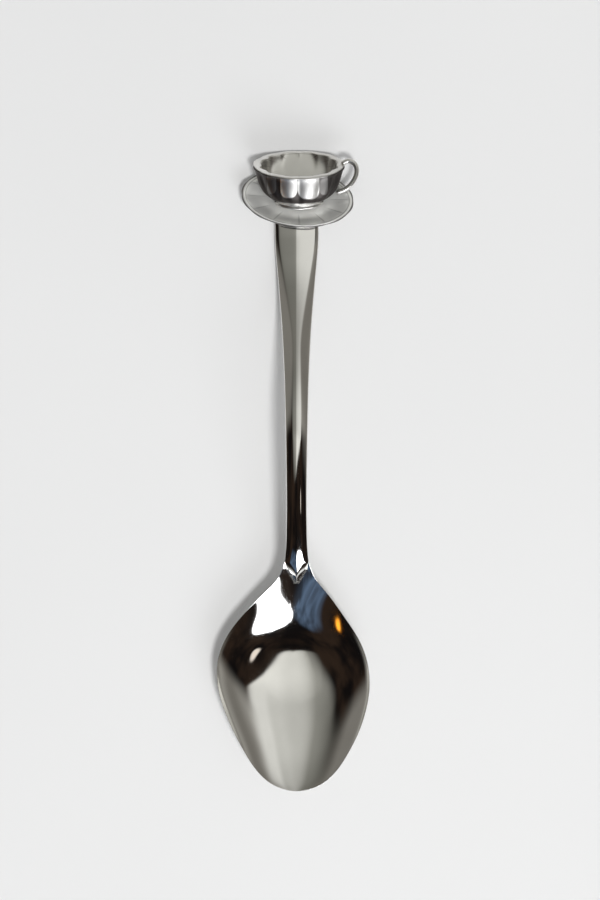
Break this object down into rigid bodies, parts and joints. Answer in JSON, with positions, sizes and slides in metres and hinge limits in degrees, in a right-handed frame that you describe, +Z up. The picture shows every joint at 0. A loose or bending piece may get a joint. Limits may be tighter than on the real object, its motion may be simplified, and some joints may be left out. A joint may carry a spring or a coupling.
{
  "type": "souvenir teaspoon with teacup finial",
  "caption": "Small polished souvenir teaspoon: egg-shaped bowl, ridged stem brazed on with a V lap, and a fluted teacup and saucer finial.",
  "frame": {"origin": "centre of the spoon's footprint, on the table that it lies on", "axes": "+Z up out of the bowl, +Y along the stem towards the teacup, +X to the side that the teacup's ear handle is on"},
  "size_m": [0.0297, 0.125, 0.0138],
  "materials": {
    "polished_steel": "mirror polished, with fine wiping scratches",
    "plated_casting": "bright plated casting, slightly soft in the recesses",
    "braze": "polished silver braze",
    "solder": "dull soft solder"
  },
  "bodies": {
    "root": {"bowl": "polished_steel", "stem": "polished_steel", "neck_braze": "braze", "saucer": "plated_casting", "finial_solder": "solder", "teacup": "plated_casting", "cup_solder": "solder", "cup_handle": "plated_casting"}
  },
  "joints": []
}
